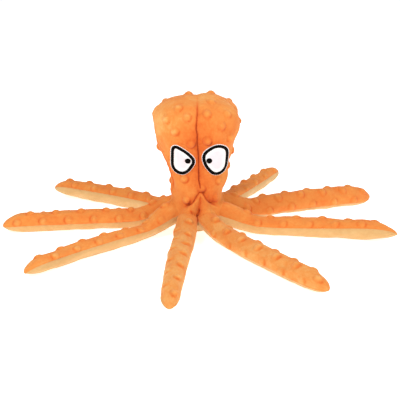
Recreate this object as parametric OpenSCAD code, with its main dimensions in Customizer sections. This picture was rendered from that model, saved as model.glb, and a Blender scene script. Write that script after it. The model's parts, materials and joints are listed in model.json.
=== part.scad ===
// Plush octopus toy: a sewn head of dotted plush on eight padded legs.
// Millimetres, +Z up, the face looks along -Y. The origin is the centre of the
// round patch under the body, on the surface that the toy sits on.

/* [Head] */
// Height of the head's top above the table
head_top = 150; // [140:1:165]
// Height of the head's lower edge, where it is gathered into the neck
head_bottom = 41; // [40:1:44]
// Half of the head's greatest width
head_half_width = 46; // [38:0.5:50]
// Half of the head's width at the neck
neck_half_width = 26.5; // [26:0.5:28]
// Depth of the head over its width, at the widest place
head_flatness = 0.82; // [0.7:0.01:1]

/* [Legs] */
// Distance of each leg's root from the middle of the body
root_radius = 31; // [30.5:0.5:34]
// Height of the leg roots above the table
root_height = 19; // [18:0.5:22]
// Distance of the curl line from the leg's root
curl_distance = 85; // [70:1:100]
// Half of a leg's width where it is widest
leg_half_width = 12.2; // [10:0.1:12.6]
// Half of a leg's thickness where it is thickest
leg_half_height = 10.6; // [8:0.1:11]
// Half of the room left open at the curl line
curl_gap = 3; // [2.8:0.1:5]

/* [Cloth] */
// Thickness of the plush cloth
cloth = 1.6; // [1:0.1:2]
// Thickness of the crinkle film in the legs
film = 0.5; // [0.3:0.1:0.8]
// Depth of the wadding behind the head's cloth
wadding = 4; // [3:0.5:6]
// Room between the head's cloth and the wadding
wadding_gap = 3; // [1:0.5:4]

/* [Eyes] */
// Width of the black stitched border
border = 2.8; // [1.5:0.1:3]
// Radius of each pupil
pupil_radius = 3; // [2:0.1:3.5]

/* [Squeaker] */
// Radius of the squeaker's bellows
squeaker_radius = 16; // [12:0.5:17]
// Height of the bellows at rest
bellows_height = 16; // [14:1:20]

/* [Hidden] */
LEG_COUNT = 8;

orange = "#F5853A";
cream = "#F6D79B";
felt_white = "#F4F0F2";
black = "#15100F";
translucent = "#DCE4E8";

// Where each leg goes: [bearing of the root, bearing of the tip, reach of the tip,
// roll towards the tip, how far the tip stands off the table, how high it arches on
// the way, and its girth over the thickest leg's]. Bearings turn from the front towards +X.
legs = [
    [22.5, 32, 224, -24, 0, 0, 0.97],
    [67.5, 79.7, 218, 16, 0, 0, 0.97],
    [112.5, 111.5, 224, -34, 6, 8, 1],
    [157.5, 152, 224, 20, 5, 0, 0.93],
    [202.5, 234.7, 218, -22, 2, 0, 0.98],
    [247.5, 273.5, 214, 6, 0, 0, 0.94],
    [292.5, 311.8, 220, -20, 0, 0, 0.8],
    [340.5, 354.3, 229, 16, 0, 0, 0.88]
];
root_half_width = 9.5;
root_half_height = 9.3;
foot = 0.3;            // room under a leg that lies on the table
bend_reach = 125;      // how far out each leg bends towards its tip's bearing
bend_share = 0.62;     // share of the turn made by then
tip_taper = 28;        // length over which the width closes at the tip
tip_thinning = 42;     // length over which the thickness closes at the tip
tip_share = 0.6;       // how far up the leg's thickness the tip closes, 0 at its underside
seam_angle = 2;        // half of the slit between a leg's two cloths, in degrees
leg_rings = 6;         // rings along the middle of a leg's stretch
leg_sides = 8;         // steps across each cloth
head_rings = 8;        // rings up the head's sides
crown_rings = 5;       // rings over the head's crown
head_sides = 8;        // steps across each head panel
panel_slit = 0.6;      // half of the slit between two head panels, in degrees
crown_height = 20;     // height of the head's rounded crown
crown_fall = 6;        // how much lower the crown lies towards its sides
crown_hole = 0.03;     // size of the point where the panels meet, over the head's
roundness = 2.5;       // exponent of the head's superellipse outline
core_radius = 23;      // radius of the ball that the head tips on
squeaker_bottom = 74;
film_rings = 18;

// ---- helpers ----
function direction(bearing) = [sin(bearing), -cos(bearing), 0];
function unit(v) = v / norm(v);
function blend(a, b, t) = a + (b - a) * t;
function clamp(x, low, high) = min(max(x, low), high);
function smooth(t) = let (c = clamp(t, 0, 1)) c * c * (3 - 2 * c);
function sign_power(x, e) = sign(x) * pow(abs(x), e);

// A closed solid between two grids of points that face each other.
module slab(outer, inner) {
    rows = len(outer);
    columns = len(outer[0]);
    count = rows * columns;
    points = concat([for (row = outer) each row], [for (row = inner) each row]);
    faces = concat(
        [for (r = [0:rows - 2]) for (c = [0:columns - 2]) let (k = r * columns + c)
            each [[k, k + columns, k + 1], [k + 1, k + columns, k + columns + 1]]],
        [for (r = [0:rows - 2]) for (c = [0:columns - 2]) let (k = count + r * columns + c)
            each [[k, k + 1, k + columns], [k + 1, k + columns + 1, k + columns]]],
        [for (r = [0:rows - 2]) let (a = r * columns, b = a + columns - 1)
            each [
                [a, count + a, a + columns], [count + a, count + a + columns, a + columns],
                [b, b + columns, count + b], [count + b, b + columns, count + b + columns]]],
        [for (c = [0:columns - 2]) let (a = c, b = (rows - 1) * columns + c)
            each [
                [a, a + 1, count + a], [count + a, a + 1, count + a + 1],
                [b, count + b, b + 1], [count + b, count + b + 1, b + 1]]]
    );
    polyhedron(points, faces, convexity = 6);
}

// ---- leg path ----
function root_point(i) = root_radius * direction(legs[i][0]);
function tip_point(i) = legs[i][2] * direction(legs[i][1]);
function bend_point(i) = bend_reach * direction(blend(legs[i][0], legs[i][1], bend_share));
function leg_length(i) =
    let (start = root_point(i), middle = bend_point(i), end = tip_point(i))
    (norm(end - start) + norm(middle - start) + norm(end - middle)) / 2;
function plan(i, t) =
    (1 - t) * (1 - t) * root_point(i) + 2 * t * (1 - t) * bend_point(i) + t * t * tip_point(i);

// Half width and half height of a leg at the distance s from its root, less the depth d.
function closing(i, s, d, reach) =
    let (x = clamp((leg_length(i) - d - s) / reach, 0, 1)) 1 - (1 - x) * (1 - x);
function half_width(i, s, d = 0) =
    let (full = blend(root_half_width, leg_half_width, smooth(s / 110)) * legs[i][6])
    (full - d) * pow(closing(i, s, d, tip_taper), 0.5);
function half_height(i, s, d = 0) =
    let (full = blend(root_half_height, leg_half_height, smooth(s / 80)) * legs[i][6])
    (full - d) * pow(closing(i, s, d, tip_thinning), 0.6);
function roll(i, s) = legs[i][3] * smooth(s / 120);
// Height of a leg's middle line over its lowest point, and over the table.
function rest(i, s) =
    norm([half_width(i, s) * sin(roll(i, s)), half_height(i, s) * cos(roll(i, s))]);
function stand(i, s) = blend(rest(i, s), rest(i, min(s, leg_length(i) - tip_thinning)), tip_share);
function centre(i, s) =
    let (
        t = s / leg_length(i),
        near = clamp(1 - s / 62, 0, 1.2),
        far = clamp((t - 0.45) / 0.55, 0, 1),
        fall = (root_height - root_half_height * legs[i][6] - foot) * near * near,
        rise = legs[i][4] * far * far + legs[i][5] * 4 * t * (1 - t)
    )
    plan(i, t) + [0, 0, s < 0 ? root_height : stand(i, s) + foot + fall + rise];
function along(i, s) = unit(centre(i, s + 2) - centre(i, s - 2));
function side(i, s) = unit(cross(along(i, s), [0, 0, 1]));

// A point on a leg's skin, with the cloth depth d taken off and the size scaled by k.
function skin(i, s, k, angle, d = 0) =
    let (
        a = side(i, max(s, 0)), u = cross(a, along(i, max(s, 0))), r = roll(i, s),
        across = a * cos(r) + u * sin(r), up = u * cos(r) - a * sin(r),
        width = half_width(i, s, d), height = half_height(i, s, d)
    )
    centre(i, s) + k * (width * cos(angle) * across + height * sin(angle) * up);

// Rings along a stretch of leg as [distance, scale]: a round end, the middle, a round end.
cap_steps = [8, 35, 62];
function stretch(from, to, start_cap, end_cap) = concat(
    [for (b = cap_steps) [from + start_cap * (1 - cos(b)), sin(b)]],
    [for (j = [0:leg_rings]) [blend(from + start_cap, to - end_cap, j / leg_rings), 1]],
    [for (b = end_cap > 0 ? [62, 35, 8] : []) [to - end_cap * (1 - cos(b)), sin(b)]]
);
module leg_cloth(i, from, to, start_cap, end_cap, upper) {
    low = (upper ? 0 : 180) + seam_angle;
    high = (upper ? 180 : 360) - seam_angle;
    outer = stretch(from, to, start_cap, end_cap);
    inner = stretch(from + cloth, to - cloth, start_cap, end_cap);
    angles = [for (c = [0:leg_sides]) blend(low, high, c / leg_sides)];
    slab(
        [for (ring = outer) [for (angle = angles) skin(i, ring[0], ring[1], angle)]],
        [for (ring = inner) [for (angle = angles) skin(i, ring[0], ring[1], angle, cloth)]]
    );
}

// The near half of a leg, from the neck to the curl line.
module leg_inner(i, upper) {
    color(upper ? orange : cream)
        leg_cloth(
            i, -root_half_height, curl_distance - curl_gap, root_half_height, leg_half_height, upper
        );
}

// The far half of a leg, from the curl line to the tip.
module leg_outer(i, upper) {
    color(upper ? orange : cream)
        leg_cloth(i, curl_distance + curl_gap, leg_length(i) - 0.6, leg_half_height, 0, upper);
}

// The crumpled film between a leg's two cloths.
module leg_film(i) {
    start = curl_distance + curl_gap + leg_half_height;
    end = leg_length(i) - 34;
    function ribbon(offset) = [for (j = [0:film_rings])
        let (
            s = blend(start, end, j / film_rings),
            a = side(i, s), u = cross(a, along(i, s)), r = roll(i, s),
            across = a * cos(r) + u * sin(r), up = u * cos(r) - a * sin(r),
            reach = 0.72 * (half_width(i, s) - cloth), wave = 1.6 * sin(j * 120)
        )
        [for (c = [-1, -0.33, 0.33, 1])
            centre(i, s) + c * reach * across + (offset + wave * cos(c * 170)) * up]];
    color(translucent) slab(ribbon(film / 2), ribbon(-film / 2));
}

// ---- head ----
// Half of the head's width at a height, for the sides below the crown.
function head_side(z) =
    let (t = (z - head_bottom) / (head_top - crown_height - head_bottom))
    blend(neck_half_width, head_half_width, smooth(1.1 * t));
function head_depth_ratio(z) = blend(1, head_flatness, smooth((z - head_bottom) / 40));
function head_ring(z, k, angle, d) =
    let (
        a = head_side(min(z, head_top - crown_height)), b = a * head_depth_ratio(z),
        up = max(z - head_top + crown_height, 0) / crown_height,
        across = k * sign_power(cos(angle), 2 / roundness),
        depth = k * sign_power(sin(angle), 2 / roundness)
    )
    [(a - d) * across, (b - d) * depth, z - crown_fall * up * (across * across + depth * depth)];
function head_rows(d) = concat(
    [for (j = [0:head_rings]) [blend(head_bottom, head_top - crown_height, j / head_rings), 1]],
    [for (j = [1:crown_rings]) let (b = 90 * j / crown_rings)
        [head_top - crown_height + (crown_height - d) * sin(b), max(pow(cos(b), 0.55), crown_hole)]]
);
// A stretch of the head's shell between two angles, in from the outline by d and
// depth thick, starting at the given row.
module head_shell(start, end, steps, d, depth, first_row) {
    function skin_grid(inset) = let (rows = head_rows(inset))
        [for (j = [first_row:len(rows) - 1]) [for (c = [0:steps])
            head_ring(rows[j][0], rows[j][1], blend(start, end, c / steps), inset)]];
    slab(skin_grid(d), skin_grid(d + depth));
}
module head_panel(quarter) {
    color(orange)
        head_shell(90 * quarter - 90 + panel_slit, 90 * quarter - panel_slit, head_sides, 0, cloth, 0);
}

// Wadding behind the head's cloth, in a front and a back half.
module head_wadding() {
    inset = cloth + wadding_gap;
    color(felt_white) for (half = [0, 1])
        head_shell(181 + 180 * half, 359 + 180 * half, 2 * head_sides, inset, wadding, 3);
}

// ---- eyes ----
// Each eye's outline is drawn tight round circles of [x, z, radius].
eye_left = [[-16.2, 81.8, 11.2], [-9.6, 86.3, 7.5], [-14.5, 92.5, 8.6], [-22.6, 99.9, 4.6]];
eye_right = [[21.5, 80.2, 10.6], [16.6, 90.5, 11.2], [21.8, 92.4, 12], [27.3, 98.8, 4]];
pupil_at_left = [-9.7, 86.3];
pupil_at_right = [12.9, 86.9];
outline_steps = 40;

function support(circle, angle) = circle[0] * cos(angle) + circle[1] * sin(angle) + circle[2];
function farthest(circles, angle, k = 0) =
    k == len(circles) - 1 ? k
    : let (rest = farthest(circles, angle, k + 1))
      support(circles[k], angle) >= support(circles[rest], angle) ? k : rest;
// A point of the outline that is drawn tight round the circles, moved in by inset.
function outline_point(circles, angle, inset) =
    let (c = circles[farthest(circles, angle)])
    [c[0], c[1]] + (c[2] - inset) * [cos(angle), sin(angle)];
// The point of the head's front over the place [x, z], standing off by lift.
function on_face(place, lift) =
    let (a = head_side(place[1]), b = a * head_depth_ratio(place[1]))
    [place[0], -b * pow(1 - pow(min(abs(place[0]) / a, 0.98), roundness), 1 / roundness) - lift, place[1]];
module on_head(circles, inset, hole, low, high) {
    middle = [for (axis = [0, 1])
        (min([for (c = circles) c[axis]]) + max([for (c = circles) c[axis]])) / 2];
    angles = [for (j = [0:outline_steps]) 360 * j / outline_steps];
    rings = hole ? [inset, inset + border] : [inset];
    function place(angle, k) =
        hole ? outline_point(circles, angle, rings[k])
             : blend(middle, outline_point(circles, angle, inset), [1, 0.66, 0.33][k]);
    levels = hole ? [0, 1] : [0, 1, 2];
    count = outline_steps;
    front = [for (k = levels) for (j = [0:count - 1]) on_face(place(angles[j], k), high)];
    back = [for (k = levels) for (j = [0:count - 1]) on_face(place(angles[j], k), low)];
    n = len(front);
    inner = n - count;
    centre_points = hole ? [] : [on_face(middle, high), on_face(middle, low)];
    faces = concat(
        [for (k = [0:len(levels) - 2]) for (j = [0:count - 1])
            let (a = k * count + j, b = k * count + (j + 1) % count, c = a + count, d = b + count)
            each [[a, c, b], [b, c, d], [n + a, n + b, n + c], [n + b, n + d, n + c]]],
        [for (j = [0:count - 1]) let (a = j, b = (j + 1) % count)
            each [[a, b, n + a], [b, n + b, n + a]]],
        hole
            ? [for (j = [0:count - 1]) let (a = inner + j, b = inner + (j + 1) % count)
                each [[a, n + a, b], [b, n + a, n + b]]]
            : [for (j = [0:count - 1]) let (a = inner + j, b = inner + (j + 1) % count)
                each [[a, 2 * n, b], [n + a, n + b, 2 * n + 1]]]
    );
    polyhedron(concat(front, back, centre_points), faces, convexity = 6);
}
module eye_patch(circles) { color(felt_white) on_head(circles, border + 0.15, false, 0.5, 1.5); }
module eye_border(circles) { color(black) on_head(circles, 0, true, 0.5, 2.1); }
module pupil(at) { color(black) on_head([[at[0], at[1], pupil_radius]], 0, false, 1.65, 2.3); }

// ---- squeaker ----
squeaker_floor = 2;
function bellows_bottom() = squeaker_bottom + 6;
module squeaker_base() {
    color(translucent) translate([0, 0, squeaker_bottom]) difference() {
        cylinder(h = 6, r = squeaker_radius, $fn = 64);
        translate([0, 0, squeaker_floor]) cylinder(h = 10, r = squeaker_radius - 1.2, $fn = 64);
        translate([0, 0, -1]) cylinder(h = 4, r = 4.05, $fn = 48);
    }
}
module squeaker_reed() {
    color(felt_white) translate([0, 0, squeaker_bottom - 2]) difference() {
        union() {
            cylinder(h = 7, r = 4, $fn = 48);
            cylinder(h = 1.8, r = 5.5, $fn = 48);
        }
        translate([0, 0, -1]) cylinder(h = 9, r = 1.4, $fn = 32);
    }
}
fold_count = 4;
module squeaker_bellows() {
    pitch = bellows_height / fold_count;
    outside = [for (k = [0:fold_count - 1]) each
        [[squeaker_radius - 3, k * pitch], [squeaker_radius - 0.4, (k + 0.5) * pitch]]];
    top = [[squeaker_radius - 3, bellows_height]];
    profile = concat(outside, top);
    wall = 0.7;
    inside = [for (k = [len(profile) - 1:-1:0]) [profile[k][0] - wall, profile[k][1]]];
    color(translucent) translate([0, 0, bellows_bottom()])
        rotate_extrude($fn = 64) polygon(concat(profile, inside));
}
module squeaker_cap() {
    color(translucent) translate([0, 0, bellows_bottom() + bellows_height]) union() {
        cylinder(h = 1.6, r = squeaker_radius - 0.4, $fn = 64);
        translate([0, 0, 1.6]) cylinder(h = 1, r = squeaker_radius - 4, $fn = 64);
    }
}

// ---- body ----
patch_radius = 10;
patch_thickness = 2;
waist_radius = 20.9;
module underside_patch() {
    color(cream) cylinder(h = patch_thickness, r = patch_radius, $fn = 64);
}
// The gathered middle that the legs and the head are sewn to, round where the head tips on it.
module neck_core() {
    base = patch_thickness;
    flare = 10;
    ball_low = head_bottom - 1 - sqrt(core_radius * core_radius - waist_radius * waist_radius);
    color(orange) union() {
        translate([0, 0, base]) cylinder(h = flare, r1 = patch_radius - 0.5, r2 = waist_radius, $fn = 64);
        translate([0, 0, base + flare]) cylinder(h = ball_low - base - flare, r = waist_radius, $fn = 64);
        intersection() {
            translate([0, 0, head_bottom - 1]) sphere(r = core_radius, $fn = 64);
            translate([0, 0, ball_low]) cylinder(h = 24, r = core_radius + 1, $fn = 64);
        }
    }
}

head_panel(0);  // head_panel_front_right
head_panel(1);  // head_panel_back_right
head_panel(2);  // head_panel_back_left
head_panel(3);  // head_panel_front_left
eye_patch(eye_left);  // eye_patch_left
eye_border(eye_left);  // eye_border_left
pupil(pupil_at_left);  // pupil_left
eye_patch(eye_right);  // eye_patch_right
eye_border(eye_right);  // eye_border_right
pupil(pupil_at_right);  // pupil_right
head_wadding();
squeaker_base();
squeaker_reed();
squeaker_bellows();
squeaker_cap();
neck_core();
underside_patch();
for (i = [0:LEG_COUNT - 1]) {
    name = str("leg", i + 1, "_");
    leg_inner(i, true);
    leg_outer(i, true);
    leg_inner(i, false);
    leg_outer(i, false);
    leg_film(i);
}
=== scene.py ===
"""Looks for the plush octopus toy: dotted orange plush above, cream plush below, embroidered eyes.

Metres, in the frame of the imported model: +Z up, the face towards -Y, the toy standing on z = 0.
Places come from the frame's joints and nodes. "s" is the distance out along a leg from its root hinge.
"""
import json
import math

import bpy
import numpy as np
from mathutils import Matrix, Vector
from mathutils.bvhtree import BVHTree


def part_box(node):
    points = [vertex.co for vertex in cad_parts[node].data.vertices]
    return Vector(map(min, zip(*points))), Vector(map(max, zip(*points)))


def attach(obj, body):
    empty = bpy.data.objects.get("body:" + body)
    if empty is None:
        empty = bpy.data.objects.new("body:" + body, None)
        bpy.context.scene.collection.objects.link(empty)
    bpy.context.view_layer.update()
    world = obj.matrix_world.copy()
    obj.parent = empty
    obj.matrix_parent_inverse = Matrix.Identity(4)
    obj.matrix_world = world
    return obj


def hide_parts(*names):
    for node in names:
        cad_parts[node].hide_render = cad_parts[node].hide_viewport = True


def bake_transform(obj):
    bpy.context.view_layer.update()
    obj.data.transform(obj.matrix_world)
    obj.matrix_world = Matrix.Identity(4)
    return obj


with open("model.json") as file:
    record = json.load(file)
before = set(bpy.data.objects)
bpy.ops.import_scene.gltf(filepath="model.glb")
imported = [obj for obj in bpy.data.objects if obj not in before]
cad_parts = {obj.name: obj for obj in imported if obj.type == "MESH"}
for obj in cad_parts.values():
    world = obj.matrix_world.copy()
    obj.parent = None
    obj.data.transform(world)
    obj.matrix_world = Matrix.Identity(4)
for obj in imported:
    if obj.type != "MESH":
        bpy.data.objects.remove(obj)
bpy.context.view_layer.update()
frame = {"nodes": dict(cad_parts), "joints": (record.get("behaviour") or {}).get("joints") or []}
MM = 0.001
UP = np.array((0.0, 0.0, 1.0))


def add_object(name, data):
    thing = bpy.data.objects.new(name, data)
    bpy.context.scene.collection.objects.link(thing)
    return thing


# ---- camera ----
CAMERA_ELEVATION = math.radians(18)
CAMERA_DISTANCE = 0.95
CAMERA_TARGET = Vector((0, 0, 0.020))
CAMERA_LENS = 77
CAMERA_SHIFT = (0.0075, 0.030)


def make_camera():
    data = bpy.data.cameras.new("camera")
    data.lens = CAMERA_LENS
    data.sensor_width = 36
    data.shift_x, data.shift_y = CAMERA_SHIFT
    data.clip_start, data.clip_end = 0.05, 200
    camera = add_object("camera", data)
    back = Vector((0, -math.cos(CAMERA_ELEVATION), math.sin(CAMERA_ELEVATION)))
    camera.location = CAMERA_TARGET + CAMERA_DISTANCE * back
    camera.rotation_mode = "QUATERNION"
    camera.rotation_quaternion = (-back).to_track_quat("-Z", "Y")
    bpy.context.scene.camera = camera


# ---- arithmetic ----
def unit(v):
    return v / np.maximum(np.linalg.norm(v, axis=-1, keepdims=True), 1e-12)


def mix(a, b, t):
    return a + (b - a) * t


def smooth(t):
    t = np.clip(t, 0, 1)
    return t * t * (3 - 2 * t)


def soft_max(a, b, reach):
    """The greater of a and b, rounded where they are within reach of each other."""
    near = np.maximum(reach - np.abs(a - b), 0) / reach
    return np.maximum(a, b) + near * near * reach / 4


def ripple(place, seed, wavelength):
    """A smooth random value from -1 to 1 for each row of place, made of a few waves."""
    random = np.random.default_rng(seed)
    value = np.zeros(place.shape[:-1])
    for k in range(7):
        direction = unit(random.normal(size=place.shape[-1]))
        turns = place @ direction / (wavelength * random.uniform(0.7, 1.5))
        value += np.sin(2 * math.pi * (turns + random.uniform()))
    return value / 4


def node_points(node):
    return np.array([v.co for v in frame["nodes"][node].data.vertices])


def joint(name):
    return next(j for j in frame["joints"] if j["name"] == name)


# ---- legs ----
LEG_COUNT = 8
# One entry for each leg, from leg 1 to leg 8, with lengths in mm.
# Roll of the cross-section near the body and at the tip, in degrees.
LEG_ROLLS = ((-24, -24), (6, 30), (-34, -36), (18, 22), (-22, -22), (8, 4), (-20, -22), (16, 16))
# How far the tip rises, the middle arches up, and the middle line bows sideways.
LEG_RISES = (0, 0, 3.5, 5, 2, 0, 0, 0)
LEG_ARCHES = (0, 0, 6, 0, 0, 0, 0, 0)
LEG_BOWS = (1, 5, 0, 0, 0, 5, 0, 1.5)
# Size of the cross-section near the body and at the tip, as a share of the usual size.
LEG_GIRTHS = (
    (1, 0.90), (0.97, 0.97), (1.10, 1.04), (0.93, 0.88),
    (0.98, 0.98), (1.02, 0.94), (0.82, 0.80), (1, 0.78),
)
# How much taller the leg is where it meets the head.
SHOULDERS = (0, 3.5, 5, 6, 3.5, 3.5, 3.5, 0)
# The last stretch, over which the tip closes in width and in height.
TIP_TAPERS = (30, 28, 28, 21, 18, 18, 18, 28)
TIP_THINNINGS = (38, 42, 42, 28, 25, 25, 25, 42)

ROOT_HALF_WIDTH = 11.6 * MM
ROOT_HALF_HEIGHT = 9.6 * MM
LEG_HALF_WIDTH = 12.0 * MM
LEG_HALF_HEIGHT = 10.6 * MM
WIDENING_REACH = 110 * MM
DEEPENING_REACH = 80 * MM
SHOULDER_REACH = 42 * MM
GIRTH_REACH = 40 * MM
# From here on the girth and the roll change towards the tip's.
CHANGE_START = 60 * MM
TIP_SHARE = 0.6
TIP_ROUNDNESS = 0.6
# Share of the leg's length past which its tip rises.
RISE_START = 0.45
FOOT = 0.3 * MM
FALL_REACH = 62 * MM
SPLIT = 52 * MM
# The stretch inside the head's lower edge, and where it starts: on the front legs, and on the others.
INNER_REACH = 38 * MM
INNER_HALF_HEIGHT = 8 * MM
START_HEIGHT = 47 * MM
START_REACH = 15 * MM
START_HALF_WIDTH = 8.5 * MM
FRONT_START_REACH = 21 * MM
FRONT_START_SHIFT = 3 * MM
FRONT_START_HALF_WIDTH = 4.5 * MM
FRONT_START_LEAN = math.radians(11)
# How far out the leg counts as part of the body's form.
NEAR_REACH = 46 * MM


class Leg:
    """One leg's middle line and cross-section at distances s.

    Below 0, s runs up inside the head's lower edge.
    """

    def __init__(self, number):
        entry = number - 1
        self.number = number
        self.name = f"leg{number}"
        self.rolls = np.radians(LEG_ROLLS[entry])
        self.rise = LEG_RISES[entry] * MM
        self.arch = LEG_ARCHES[entry] * MM
        self.bow = LEG_BOWS[entry] * MM
        self.girths = LEG_GIRTHS[entry]
        self.shoulder = SHOULDERS[entry] * MM
        self.taper = TIP_TAPERS[entry] * MM
        self.thinning = TIP_THINNINGS[entry] * MM
        self.root = np.array(joint(f"{self.name}_lift")["pos_m"])
        self.knee = np.array(joint(f"{self.name}_curl")["pos_m"])
        skin = node_points(f"{self.name}_upper_outer")
        self.tip = skin[np.argmax(np.linalg.norm(skin - self.root, axis=1))]
        self.outward = unit(np.array((self.root[0], self.root[1], 0)))
        self.plan_curve()
        self.plan_start()

    def plan_curve(self):
        """The curve seen from above, from the root through the curl line to the tip, and its length."""
        first, middle, last = self.root[:2], self.knee[:2], self.tip[:2]
        near, far = np.linalg.norm(middle - first), np.linalg.norm(last - middle)
        t = near / (near + far)
        self.bend = (middle - (1 - t) ** 2 * first - t * t * last) / (2 * t * (1 - t))
        around = np.linalg.norm(self.bend - first) + np.linalg.norm(last - self.bend)
        self.length = (np.linalg.norm(last - first) + around) / 2
        self.knee_s = t * self.length

    def plan_start(self):
        """Where the leg starts, up inside the head's lower edge."""
        if self.number in (1, LEG_COUNT):
            lean = FRONT_START_LEAN * (1 if self.root[0] > 0 else -1)
            x = math.sin(lean) * FRONT_START_REACH + FRONT_START_SHIFT
            self.start = np.array((x, -math.cos(lean) * FRONT_START_REACH, START_HEIGHT))
            self.start_half_width = FRONT_START_HALF_WIDTH
        else:
            self.start = self.outward * START_REACH + UP * START_HEIGHT
            self.start_half_width = START_HALF_WIDTH

    def tipward(self, s):
        """0 up to where the leg starts to change, 1 at its tip."""
        return smooth((s - CHANGE_START) / (self.length - CHANGE_START))

    def girth(self, s):
        near = mix(1, self.girths[0], smooth(s / GIRTH_REACH))
        return mix(near, self.girths[1], self.tipward(s))

    def half_width(self, s):
        closing = np.clip((self.length - s) / self.taper, 0, 1)
        out = mix(ROOT_HALF_WIDTH, LEG_HALF_WIDTH, smooth(s / WIDENING_REACH)) * self.girth(s)
        inner = mix(ROOT_HALF_WIDTH, self.start_half_width, smooth(-s / INNER_REACH))
        return np.where(s < 0, inner, out * np.sqrt(1 - (1 - closing) ** 2))

    def half_height(self, s):
        closing = np.clip((self.length - s) / self.thinning, 0, 1)
        out = mix(ROOT_HALF_HEIGHT, LEG_HALF_HEIGHT, smooth(s / DEEPENING_REACH)) * self.girth(s)
        out = out + self.shoulder * (1 - smooth(s / SHOULDER_REACH))
        inner = mix(ROOT_HALF_HEIGHT + self.shoulder, INNER_HALF_HEIGHT, smooth(-s / INNER_REACH))
        return np.where(s < 0, inner, out * (1 - (1 - closing) ** 2) ** TIP_ROUNDNESS)

    def turn(self, s):
        near = mix(0, self.rolls[0], smooth(s / CHANGE_START))
        return mix(near, self.rolls[1], self.tipward(s))

    def rest(self, s):
        """Height of the middle line over the leg's lowest point."""
        turn = self.turn(s)
        return np.hypot(self.half_width(s) * np.sin(turn), self.half_height(s) * np.cos(turn))

    def outer_middle(self, s):
        """The middle line from the root to the tip: falling to the floor, then rising at the tip."""
        t = (s / self.length)[:, None]
        plan = (1 - t) ** 2 * self.root[:2] + 2 * t * (1 - t) * self.bend + t * t * self.tip[:2]
        sideways = unit(np.array((self.root[1] - self.tip[1], self.tip[0] - self.root[0])))
        plan = plan + self.bow * 4 * t * (1 - t) * sideways
        stand = mix(self.rest(s), self.rest(np.minimum(s, self.length - self.thinning)), TIP_SHARE)
        near = np.clip(1 - s / FALL_REACH, 0, 1.2)
        far = np.clip((t[:, 0] - RISE_START) / (1 - RISE_START), 0, 1)
        drop = self.root[2] - ROOT_HALF_HEIGHT - FOOT
        arch = self.arch * 4 * t[:, 0] * (1 - t[:, 0])
        height = stand + FOOT + drop * near ** 2 + self.rise * far ** 2 + arch
        return np.column_stack((plan, height))

    def middle(self, s):
        """The middle line: the leg itself from the root on, and a curve up under the head before it."""
        s = np.atleast_1d(np.asarray(s, float))
        step = np.array((0.0, 0.5 * MM))
        ends = self.outer_middle(step)
        heading = (ends[1] - ends[0]) / step[1]
        t = np.clip(1 + s / INNER_REACH, 0, 1)[:, None]
        inner = (
            (2 * t ** 3 - 3 * t ** 2 + 1) * self.start
            + (t ** 3 - 2 * t ** 2 + t) * (-UP * INNER_REACH)
            + (-2 * t ** 3 + 3 * t ** 2) * ends[0]
            + (t ** 3 - t ** 2) * heading * INNER_REACH
        )
        return np.where((s < 0)[:, None], inner, self.outer_middle(np.maximum(s, 0)))

    def axes(self, s):
        """(middle, along, across, top) at each s. Top is the way the orange cloth faces."""
        s = np.atleast_1d(np.asarray(s, float))
        middle = self.middle(s)
        along = unit(self.middle(s + 0.5 * MM) - self.middle(s - 0.5 * MM))
        share = smooth(-s / INNER_REACH)[:, None]
        up = UP * (1 - share) + self.outward * share
        up = unit(up - (up * along).sum(1, keepdims=True) * along)
        side = np.cross(along, up)
        turn = self.turn(s)[:, None]
        across = side * np.cos(turn) + up * np.sin(turn)
        top = up * np.cos(turn) - side * np.sin(turn)
        return middle, along, across, top

    def inside(self, points):
        """How far inside the leg's near stretch each point is, in metres; negative outside."""
        step = 2 * MM
        s = np.arange(-INNER_REACH, NEAR_REACH, step)
        middle, along, across, top = self.axes(s)
        width, height = self.half_width(s), self.half_height(s)
        best = np.full(len(points), -1.0)
        room = ROOT_HALF_WIDTH + 8 * MM
        close = np.all((points > middle.min(0) - room) & (points < middle.max(0) + room), axis=1)
        points = points[close]
        depths = np.full(len(points), -1.0)
        for k in range(len(s)):
            off = points - middle[k]
            ahead = np.abs(off @ along[k])
            ratio = np.hypot(off @ across[k] / width[k], off @ top[k] / height[k])
            depths = np.maximum(depths, (1 - ratio) * height[k] - np.maximum(ahead - step / 2, 0) * 2)
        best[close] = depths
        return best

    def underneath(self, points):
        """How far each point is from the leg's root, and how far it lies to the cream side, -1 to 1."""
        s = np.arange(-14 * MM, 16 * MM, 2 * MM)
        middle, _, _, top = self.axes(s)
        gap = np.linalg.norm(points[:, None] - middle, axis=-1)
        k = gap.argmin(1)
        return gap.min(1), -((points - middle[k]) * top[k]).sum(1) / self.half_height(s)[k]


legs = [Leg(n) for n in range(1, LEG_COUNT + 1)]

# ---- head outline ----
head_low, head_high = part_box("head_panel_front_left")
HEAD_TOP = head_high.z
HEAD_BOTTOM = head_low.z
HEAD_HALF_WIDTH = -head_low.x
NECK_HALF_WIDTH = 26.5 * MM
HEAD_FLATNESS = -head_low.y / HEAD_HALF_WIDTH
CROWN_HEIGHT = 20 * MM
CROWN_FALL = 6 * MM
ROUNDNESS = 2.5
# The legs' roots all lie below this height.
ROOTS_TOP = 64 * MM
CORE_HEIGHTS = (-5 * MM, 0, 3 * MM, 9 * MM, 16 * MM, 25 * MM, HEAD_BOTTOM)
CORE_RADII = (6 * MM, 8 * MM, 11 * MM, 18 * MM, 22.5 * MM, 23.5 * MM, NECK_HALF_WIDTH)


def head_half_width(z):
    """The head's half width at a height, or the radius of the gathered middle below it."""
    t = (z - HEAD_BOTTOM) / (HEAD_TOP - CROWN_HEIGHT - HEAD_BOTTOM)
    sides = mix(NECK_HALF_WIDTH, HEAD_HALF_WIDTH, smooth(1.1 * t))
    return np.where(z < HEAD_BOTTOM, np.interp(z, CORE_HEIGHTS, CORE_RADII), sides)


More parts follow.
